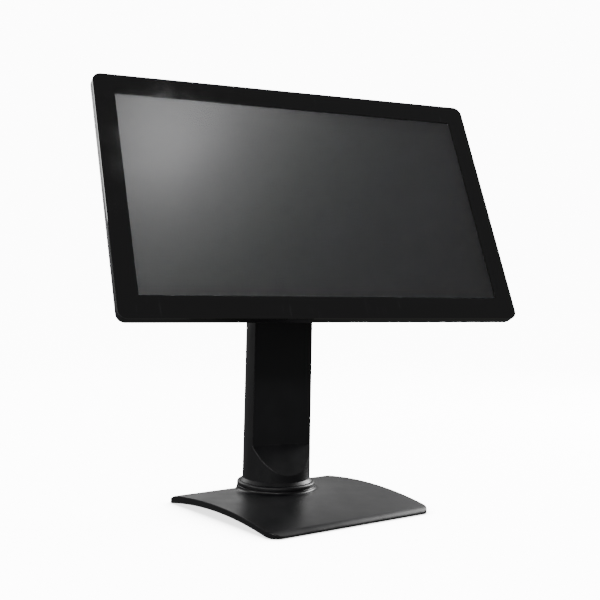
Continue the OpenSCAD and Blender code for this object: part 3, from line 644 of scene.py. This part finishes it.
def plate_bottom(y):
    """Height of the plate's lower face above its feet: the hollow, or the under side of a nose."""
    for end in ENDS:
        across = end["side"] * (y - end["nose_y"])
        if across > 0:
            return end["nose"] - math.sqrt(max(end["nose"] ** 2 - across ** 2, 0))
    depth = math.sqrt(max(hollow_radius ** 2 - (y - centre_y) ** 2, 0))
    return max(HOLLOW - hollow_radius + depth, 0)


# %% Carve the plate
SLAB = 20 * MM
plate = block("base_casting", (plate_low.x, plate_low.y, 0), (plate_high.x, plate_high.y, SLAB))
round_edges(plate, lambda e: runs_along(e, 2) and middle(e).y < centre_y, FRONT_CORNER, 14)
round_edges(plate, lambda e: runs_along(e, 2) and middle(e).y > plate_high.y - MM, BACK_CORNER, 10)
round_edges(plate, lambda e: abs(e.verts[0].co.z - e.verts[1].co.z) < 0.01 * MM, RIM, 3)
cuts = [plate_low.y + run * i / 48 for i in range(2, 47)]
for end in ENDS:
    reach = end["side"] * end["nose"]
    cuts += [end["nose_y"] + reach * math.sin(math.radians(a)) for a in range(0, 80, 11)]
    cuts += [end["start"] + (end["meet"] - end["start"]) * i / 6 for i in range(7)]
edit(plate)
for y in sorted(cuts):
    bpy.ops.mesh.select_all(action="SELECT")
    bpy.ops.mesh.bisect(plane_co=(0, y, 0), plane_no=(0, 1, 0))
only(plate)
for vertex in plate.data.vertices:
    low_z, high_z = plate_bottom(vertex.co.y), plate_top(vertex.co.y)
    keep = min(1, (high_z - low_z) / (4 * RIM))
    if vertex.co.z > SLAB / 2:
        vertex.co.z = high_z - (SLAB - vertex.co.z) * keep
    else:
        vertex.co.z = low_z + vertex.co.z * keep
    vertex.co.z += plate_low.z
edit(plate)
bpy.ops.mesh.select_all(action="SELECT")
bpy.ops.mesh.remove_doubles(threshold=0.02 * MM)
only(plate)
print("plate", len(plate.data.polygons), "faces in", len(cuts), "slices")

# %% Turn the boss and lay its fillet on the plate
BOSS, FILLET = 65.2 * MM, 7 * MM
boss_top = plate_high.z
fillet_top = boss_top - 1.2 * MM
fillet_foot = fillet_top - FILLET
quarter = [math.radians(a) for a in range(0, 91, 10)]
outline = [(0, 14 * MM), (BOSS + FILLET, fillet_foot - 3 * MM)]
outline += [(BOSS + FILLET * (1 - math.sin(a)), fillet_foot + FILLET * (1 - math.cos(a)))
            for a in quarter]
outline += [(BOSS - 0.1 * MM, boss_top - 0.5 * MM), (BOSS - 0.5 * MM, boss_top), (0, boss_top)]
boss = lathe("boss", outline, steps=192)
for vertex in boss.data.vertices:
    radius = math.hypot(vertex.co.x, vertex.co.y)
    if radius < 1 * MM:
        continue
    foot_y = vertex.co.y / radius * (BOSS + FILLET)
    shift = plate_top(foot_y) + plate_low.z - 0.04 * MM - fillet_foot
    share = min(max((fillet_top - vertex.co.z) / FILLET, 0), 1)
    vertex.co.z += shift * share
cut(plate, boss, "UNION")

# %% Bore the boss for the swivel stud and sink its nut
spring_top = own_box("swivel_disc_springs", BASE)[1].z
STUD = 8.05 * MM
RECESS = 24 * MM
cut(plate, rod("recess", RECESS, (0, 0, -5 * MM), (0, 0, spring_top), 96))
cut(plate, rod("bore", STUD, (0, 0, 5 * MM), (0, 0, boss_top + 5 * MM), 64))
smooth(plate, 28)
place(plate, BASE)
hand_over(plate, "base", "cast_base", CAST, "base_plate")

# %% [markdown]
# ## Collar ring
# A plastic ring snaps on round the column's foot and hides the joint that turns. Its top edge is
# fully rounded, and a narrow groove under it keeps its lower edge off the casting, so that any small
# misfit looks meant. It is round all the way, so it is spun from its section.

# %% Collar ring
ring_low, ring_high = own_box("collar_ring", BASE)
NOSE, LIP, GROOVE = 3.6 * MM, 4.2 * MM, 0.4 * MM
outer = ring_high.x
section = [(outer - LIP, ring_low.z + GROOVE), (outer - 0.5 * MM, ring_low.z + GROOVE)]
section += [(outer - 0.15 * MM, ring_low.z + 2 * GROOVE), (outer, ring_low.z + 3 * GROOVE)]
section += [(outer - NOSE + NOSE * math.cos(a), ring_high.z - NOSE + NOSE * math.sin(a))
            for a in quarter]
section += [(outer - LIP, ring_high.z)]
collar = smooth(lathe("collar_ring_cover", section, steps=192), 40)
place(collar, BASE)
hand_over(collar, "base", "black_plastic", ABS, "collar_ring")


# %% [markdown]
# ## Column covers
# The column is a moulded ABS shell in two halves round a steel mast: a tapering round tube with its
# front sliced flat, and a leaning cut below the flat that leaves a bright-edged scoop. Both halves
# come from one blank. It is a cone with a flared foot, cut by a wedge while it is still solid,
# because a solid cuts cleanly. Then its ends are opened, each half is sliced off, its outside
# corners are rounded, and Solidify gives it the moulding's wall.

# %% Blank that both halves are cut from
front_low, front_high = own_box("column_front_shell", COLUMN)
rear_low, rear_high = own_box("column_rear_cover", COLUMN)
WALL, SKIRT, KNEE, CUT_LEAN = 3.5 * MM, 4.7 * MM, 97 * MM, math.radians(38.8)
FACE = 19.4 * MM
foot_radius = max(front_high.x, rear_high.x)
BODY_RADIUS, TOP_RADIUS = 56.2 * MM, 54 * MM
foot_z, top_z = front_low.z, front_high.z
part_y = front_high.y


def column_blank(name):
    """The column's solid outside: a cone with a flared foot, its front cut to a flat and a scoop.

    The cone is turned by half a facet, so that each long side of the flat stays within one facet."""
    only(None)
    skirt_z = foot_z + SKIRT
    sides = 192
    bpy.ops.mesh.primitive_cone_add(
        vertices=sides, radius1=BODY_RADIUS, radius2=TOP_RADIUS, depth=top_z - skirt_z,
        location=(0, 0, (top_z + skirt_z) / 2), rotation=(0, 0, math.pi / sides),
    )
    blank = named(name)
    edit(blank)
    pick(blank, "FACE", lambda f: f.normal.z < -0.99)
    bpy.ops.mesh.extrude_region_move(TRANSFORM_OT_translate={"value": (0, 0, -SKIRT)})
    widen = foot_radius / BODY_RADIUS
    bpy.ops.transform.resize(value=(widen, widen, 1), center_override=(0, 0, 0))
    reach = 100 * MM
    wedge = block("wedge", (-reach, -FACE - reach, KNEE), (reach, -FACE, top_z + reach))
    for vertex in wedge.data.vertices:
        if vertex.co.z < KNEE + MM and vertex.co.y < -FACE - MM:
            vertex.co.z -= reach / math.tan(CUT_LEAN)
    cut(blank, wedge)
    edit(blank)
    pick(blank, "FACE", lambda f: abs(f.normal.z) > 0.99)
    bpy.ops.mesh.delete(type="FACE")
    return only(blank)


def column_half(name, y, keep_front):
    """One half of the blank, with its corners rounded and its wall given."""
    half = column_blank(name)
    edit(half)
    bpy.ops.mesh.select_all(action="SELECT")
    bpy.ops.mesh.bisect(plane_co=(0, y, 0), plane_no=(0, 1, 0),
                        clear_outer=keep_front, clear_inner=not keep_front)
    only(half)
    if keep_front:
        round_edges(half, lambda e: sharp(e, 20) and middle(e).z > foot_z + 2 * SKIRT, 0.8 * MM, 3)
    wall = half.modifiers.new("wall", "SOLIDIFY")
    wall.thickness, wall.offset, wall.use_even_offset = WALL, -1, True
    bpy.ops.object.modifier_apply(modifier="wall")
    return half


def screw_boss(angle):
    """A tube inside the cover's foot that takes a screw from below."""
    ring = foot_radius - SKIRT - WALL - 3.7 * MM
    boss = lathe("screw_boss", [
        (2.05 * MM, 0), (5 * MM, 0), (5 * MM, 18 * MM), (2.05 * MM, 18 * MM)], steps=32)
    boss.data.transform(Matrix.Translation(
        (ring * math.cos(angle), ring * math.sin(angle), foot_z)))
    return boss


# %% Front cover
front = column_half("column_front_cover", part_y, True)
yoke_low, yoke_high = own_box("hinge_yoke", COLUMN)
ARM, ARM_ROOM = 18 * MM, 5 * MM
slot_box = block("yoke_slot", (-ARM - ARM_ROOM, -2 * FACE - 40 * MM, yoke_low.z - 8 * MM),
                 (ARM + ARM_ROOM, 0, yoke_low.z + 21 * MM))
round_edges(slot_box, lambda e: runs_along(e, 1), 3 * MM, 5)
cut(front, slot_box)
smooth(front, 25)
front = join("column_front_cover", [front, screw_boss(0), screw_boss(math.pi)])
place(front, COLUMN)
hand_over(front, "column", "black_plastic", ABS, "column_front_shell")

# %% Rear cover, with a round hole for the cable
rear = column_half("column_back_cover", rear_low.y, False)
hole_low, hole_high = own_box("cable_grommet", COLUMN)
grommet_z = (hole_low.z + hole_high.z) / 2
GROMMET_HOLE = 13 * MM
cut(rear, rod("grommet_hole", GROMMET_HOLE, (0, part_y, grommet_z), (0, 100 * MM, grommet_z)))
smooth(rear, 25)
rear = join("column_back_cover", [rear, screw_boss(math.pi / 2)])
place(rear, COLUMN)
hand_over(rear, "column", "black_plastic", ABS, "column_rear_cover")

# %% Top cap
cap_low, cap_high = own_box("column_top_cap", COLUMN)
LIP_DEPTH = 5 * MM
cap = rod("column_cap", TOP_RADIUS, (0, 0, cap_low.z + LIP_DEPTH), (0, 0, cap_high.z), 192)
edit(cap)
bpy.ops.mesh.select_all(action="SELECT")
bpy.ops.mesh.bisect(plane_co=(0, -FACE, 0), plane_no=(0, -1, 0), clear_outer=True, use_fill=True)
only(cap)
round_edges(cap, lambda e: min(v.co.z for v in e.verts) > cap_high.z - 0.01 * MM, 0.9 * MM, 4)
edit(cap)
pick(cap, "FACE", lambda f: f.normal.z < -0.99)
bpy.ops.mesh.inset(thickness=WALL + 0.3 * MM)
bpy.ops.mesh.extrude_region_move(TRANSFORM_OT_translate={"value": (0, 0, -LIP_DEPTH)})
smooth(cap, 30)
place(cap, COLUMN)
hand_over(cap, "column", "black_plastic", ABS, "column_top_cap")

# %% [markdown]
# ## Cover glass
# The front is one sheet of toughened glass with ground corners and a fine polished chamfer all
# round, which is what draws the thin bright line along its edge. The black border is ink on its
# back, and the middle is left clear. One slab with two finishes keeps it one sheet: four slices
# mark the edge of the print, and the faces inside them get the clear finish.

# %% Cover glass
BORDER_SIDE, BORDER_TOP, BORDER_BOTTOM = 32.2 * MM, 34.6 * MM, 35.6 * MM
GLASS_CORNER, CHAMFER = 14.5 * MM, 0.45 * MM
view_low = Vector((glass_low.x + BORDER_SIDE, 0, glass_low.z + BORDER_BOTTOM))
view_high = Vector((glass_high.x - BORDER_SIDE, 0, glass_high.z - BORDER_TOP))
glass = block("touch_glass", glass_low, glass_high)
round_edges(glass, lambda e: runs_along(e, 1), GLASS_CORNER, 14)
round_edges(glass, lambda e: abs(e.verts[0].co.y - e.verts[1].co.y) < 0.01 * MM, CHAMFER, 1)
edit(glass)
for corner, normal in ((view_low, (1, 0, 0)), (view_high, (1, 0, 0)),
                       (view_low, (0, 0, 1)), (view_high, (0, 0, 1))):
    bpy.ops.mesh.select_all(action="SELECT")
    bpy.ops.mesh.bisect(plane_co=corner, plane_no=normal)
only(glass)
glass.data.materials.append(PRINT)
glass.data.materials.append(CLEAR)
for face in glass.data.polygons:
    inside = all(view_low[i] < face.center[i] < view_high[i] for i in (0, 2))
    face.material_index = 1 if inside else 0
smooth(glass, 20)
place(glass, MONITOR)
hand_over(glass, "head", "cover_glass", PRINT, "cover_glass")

# %% [markdown]
# ## Display module
# Behind the glass sits the display: a thin steel-framed module whose front is the anti-glare film.
# The frame's lip is folded a little over the film, so the film is inset and pushed back a touch.

# %% Display module
panel_low, panel_high = own_box("lcd_panel", MONITOR)
FRAME_LIP, FILM_DEPTH = 5.5 * MM, 0.4 * MM
panel = block("display_module", panel_low, panel_high)
edit(panel)
pick(panel, "FACE", lambda f: f.normal.y < -0.9)
bpy.ops.mesh.inset(thickness=FRAME_LIP)
bpy.ops.mesh.extrude_region_move(TRANSFORM_OT_translate={"value": (0, FILM_DEPTH, 0)})
only(panel)
edge_x = panel_high.x - 0.1 * MM
round_edges(panel, lambda e: runs_along(e, 1) and abs(middle(e).x) > edge_x, 1.5 * MM, 4)
panel.data.materials.append(SHEET)
panel.data.materials.append(FILM)
film_y = panel_low.y + FILM_DEPTH
for face in panel.data.polygons:
    on_film = abs(face.center.y - film_y) < 0.05 * MM and face.normal.y < -0.9
    face.material_index = 1 if on_film else 0
smooth(panel, 30)
place(panel, MONITOR)
hand_over(panel, "head", "display", FILM, "lcd_panel")

# %% [markdown]
# ## Housing
# The frame and the rear case hold dozens of exact holes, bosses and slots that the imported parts
# already have. Here a copy of each part is the blank: its loose triangles are merged and its flats
# cleaned up, and then the outside edges are rounded as a moulding's are.

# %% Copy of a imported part, as a clean mesh
def blank_of(name, node_name, group):
    """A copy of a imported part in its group's own frame, merged, with its flat faces whole."""
    only(None)
    mesh = frame["nodes"][node_name].data.copy()
    mesh.materials.clear()
    copy = bpy.data.objects.new(name, mesh)
    bpy.context.scene.collection.objects.link(copy)
    mesh.transform(group.inverted())
    edit(copy)
    bpy.ops.mesh.select_all(action="SELECT")
    bpy.ops.mesh.remove_doubles(threshold=0.002 * MM)
    bpy.ops.mesh.dissolve_limited(angle_limit=math.radians(0.5))
    only(copy)
    if mesh.has_custom_normals:
        bpy.ops.mesh.customdata_custom_splitnormals_clear()
    return copy


# %% Front frame
rim = blank_of("monitor_frame", "front_frame", MONITOR)
rim_low, rim_high = own_box("front_frame", MONITOR)


def on_rim(vertex, inset):
    """True if a point lies on the outline of the frame."""
    x, z = abs(vertex.co.x), abs(vertex.co.z - (rim_low.z + rim_high.z) / 2)
    half_x, half_z = rim_high.x - inset, (rim_high.z - rim_low.z) / 2 - inset
    corner = GLASS_CORNER - inset
    over_x, over_z = x - (half_x - corner), z - (half_z - corner)
    if over_x > 0 and over_z > 0:
        return abs(math.hypot(over_x, over_z) - corner) < 0.06 * MM
    return abs(x - half_x) < 0.03 * MM or abs(z - half_z) < 0.03 * MM


count = round_edges(rim, lambda e: sharp(e) and all(on_rim(v, 0) for v in e.verts), 0.9 * MM, 3)
smooth(rim, 30)
place(rim, MONITOR)
print(count, "rim edges rounded")
hand_over(rim, "head", "black_plastic", ABS, "front_frame")

# %% Rear case
case_low, case_high = own_box("rear_case", MONITOR)
case = blank_of("monitor_back", "rear_case", MONITOR)
TOP_ROUND, FLANGE_ROUND = 4 * MM, 1.2 * MM
INNER_X, INNER_Z = 225 * MM, 118 * MM


def on_back_outline(edge):
    """True for the raised middle's outer edge, which lies beyond every vent and button hole."""
    a, b = (v.co for v in edge.verts)
    if not sharp(edge, 20) or min(a.y, b.y) < case_high.y - 0.02 * MM:
        return False
    outward = max(abs(a.x) + abs(b.x) - 2 * INNER_X, abs(a.z) + abs(b.z) - 2 * INNER_Z)
    return outward > 0


count = round_edges(case, on_back_outline, TOP_ROUND, 5)
flange_back = 18 * MM
count += round_edges(
    case, lambda e: sharp(e) and all(on_rim(v, 1 * MM) and abs(v.co.y - flange_back) < 0.02 * MM
                                     for v in e.verts), FLANGE_ROUND, 3)
smooth(case, 30)
place(case, MONITOR)
print(count, "case edges rounded")
hand_over(case, "head", "black_plastic", ABS, "rear_case")

# %% [markdown]
# ## Push buttons
# Five small keys stand proud of the back, within reach of a hand that feels round the edge. Each is
# a plain moulded stud: a round cap with a soft edge and a shallow dish for the fingertip, on a
# wider flange that stops it from falling out. It is modelled once and copied down the row.

# %% Push buttons
def push_button():
    low, high = own_box("power_button", MONITOR)
    cap_radius, flange_radius, flange, case_wall = 4.5 * MM, 5.8 * MM, 1.2 * MM, 2.8 * MM
    flange_y = case_high.y - case_wall - flange
    cap = rod("button", cap_radius, (0, low.y, 0), (0, high.y, 0), 48)
    round_edges(cap, lambda e: min(v.co.y for v in e.verts) > high.y - 0.01 * MM, 0.5 * MM, 4)
    edit(cap)
    pick(cap, "FACE", lambda f: f.normal.y > 0.99)
    bpy.ops.mesh.inset(thickness=1.1 * MM)
    bpy.ops.mesh.inset(thickness=0.9 * MM, depth=-0.22 * MM)
    only(cap)
    collar = rod("flange", flange_radius, (0, flange_y, 0), (0, flange_y + flange, 0), 48)
    round_edges(collar, lambda e: True, 0.2 * MM, 2)
    return cut(cap, collar, "UNION")


pattern = smooth(push_button(), 35)
for key in ("power", "menu", "down", "up", "source"):
    low, high = own_box(f"{key}_button", MONITOR)
    button = copy_at(pattern, ((low.x + high.x) / 2, 0, (low.z + high.z) / 2))
    button.name = button.data.name = f"{key}_key"
    place(button, MONITOR)
    hand_over(button, f"{key}_button", "button_plastic", BUTTON_ABS, f"{key}_button")
bpy.data.objects.remove(pattern)

# %% [markdown]
# ## Screws that show
# The rear case and the bracket are held by zinc-plated pan-head screws with a cross recess. The head
# is spun from half its section, and two crossed wedges cut the recess.

# %% Pan-head screws
def pan_screw(name, head, height, shank, length):
    """A screw that points along -Y, its head's seat at the origin."""
    dome = [math.radians(a) for a in range(0, 91, 15)]
    section = [(0, -length), (shank * 0.8, -length), (shank, -length + 0.2 * shank), (shank, 0)]
    section += [(head, 0)]
    section += [(head * (0.55 + 0.45 * math.cos(a)), height * (0.35 + 0.65 * math.sin(a)))
                for a in dome]
    section += [(0, height)]
    screw = lathe(name, section, steps=40)
    arm, blade = head * 0.55, head * 0.13
    for long_x, long_y in ((arm, blade), (blade, arm)):
        wedge = block("recess", (-long_x, -long_y, height * 0.3), (long_x, long_y, height * 1.3))
        for vertex in wedge.data.vertices:
            if vertex.co.z < height * 0.5:
                vertex.co.x *= 0.6
                vertex.co.y *= 0.6
        cut(screw, wedge)
    screw.data.transform(Matrix.Rotation(-math.pi / 2, 4, "X"))
    return smooth(screw, 30)


def middles(node_name):
    """Middle of each separate solid of a group of screws, in the monitor's own frame."""
    back = MONITOR.inverted()
    points = [back @ vertex.co for vertex in frame["nodes"][node_name].data.vertices]
    groups = []
    for point in points:
        near = [g for g in groups if abs(g[0].x - point.x) + abs(g[0].z - point.z) < 15 * MM]
        if near:
            near[0].append(point)
        else:
            groups.append([point])
    ends = [[(min(p[i] for p in g) + max(p[i] for p in g)) / 2 for i in (0, 2)] for g in groups]
    return sorted((x, z) for x, z in ends)


def screw_group(name, node_name, head, height, shank):
    """One screw for each solid of a packed group, joined as one piece and handed over."""
    low, high = own_box(node_name, MONITOR)
    pattern = pan_screw("screw", head, height, shank, high.y - low.y - height)
    copies = [copy_at(pattern, (x, high.y - height, z)) for x, z in middles(node_name)]
    bpy.data.objects.remove(pattern)
    screws = place(join(name, copies), MONITOR)
    hand_over(screws, "head", "zinc_steel", ZINC, node_name)


screw_group("case_screws", "rear_case_screws", 3.5 * MM, 1.8 * MM, 1.5 * MM)
screw_group("bracket_screws", "monitor_bracket_screws", 4 * MM, 2.2 * MM, 2 * MM)

# %% [markdown]
# ## Hinge parts
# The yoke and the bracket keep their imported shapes, with the sharp edges of a fresh saw cut taken
# off, as paint needs.

# %% Softened copies
def softened(name, node_name, group, width, body, slot, finish):
    piece = blank_of(name, node_name, group)
    round_edges(piece, lambda e: sharp(e, 35), width, 2)
    smooth(piece, 30)
    place(piece, group)
    hand_over(piece, body, slot, finish, node_name)


softened("yoke", "hinge_yoke", COLUMN, 0.5 * MM, "column", "black_steel", STOVED)
softened("tilt_bracket", "monitor_bracket", MONITOR, 0.4 * MM, "head", "black_steel", STOVED)

# %% [markdown]
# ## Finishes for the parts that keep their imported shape
# Most of these sit inside, and show when the kiosk is opened or taken apart. Each still gets the
# finish that the real part would have.

# %% Finishes by part
FINISHES = {
    RUBBER: ("base_foot_pads", "cable_grommet"),
    ACETAL: ("swivel_thrust_washer", "swivel_top_washer", "hinge_friction_washers"),
    ZINC: ("swivel_stop_pin", "swivel_stud", "swivel_lock_nut", "column_shell_screws",
           "yoke_screws", "hinge_shaft", "hinge_nuts", "chassis_screws", "board_screws",
           "port_bracket"),
    NICKEL: ("network_socket", "usb_sockets", "video_socket"),
    SPRING: ("swivel_disc_springs",),
    SHEET: ("column_foot_plate", "column_mast", "chassis_plate"),
    SOCKET_ABS: ("power_inlet", "shell_spacers", "speakers"),
    FOAM: ("glass_tape",),
    FINS: ("heat_sink",),
    BOARD: ("main_board", "driver_board", "touch_board", "button_board"),
}
for finish, names in FINISHES.items():
    for name in names:
        part = frame["nodes"][name]
        part.data.materials.clear()
        part.data.materials.append(finish)

# %% [markdown]
# ## Last step
# The scene ends in object mode, with nothing selected.

# %% Finish
only(None)
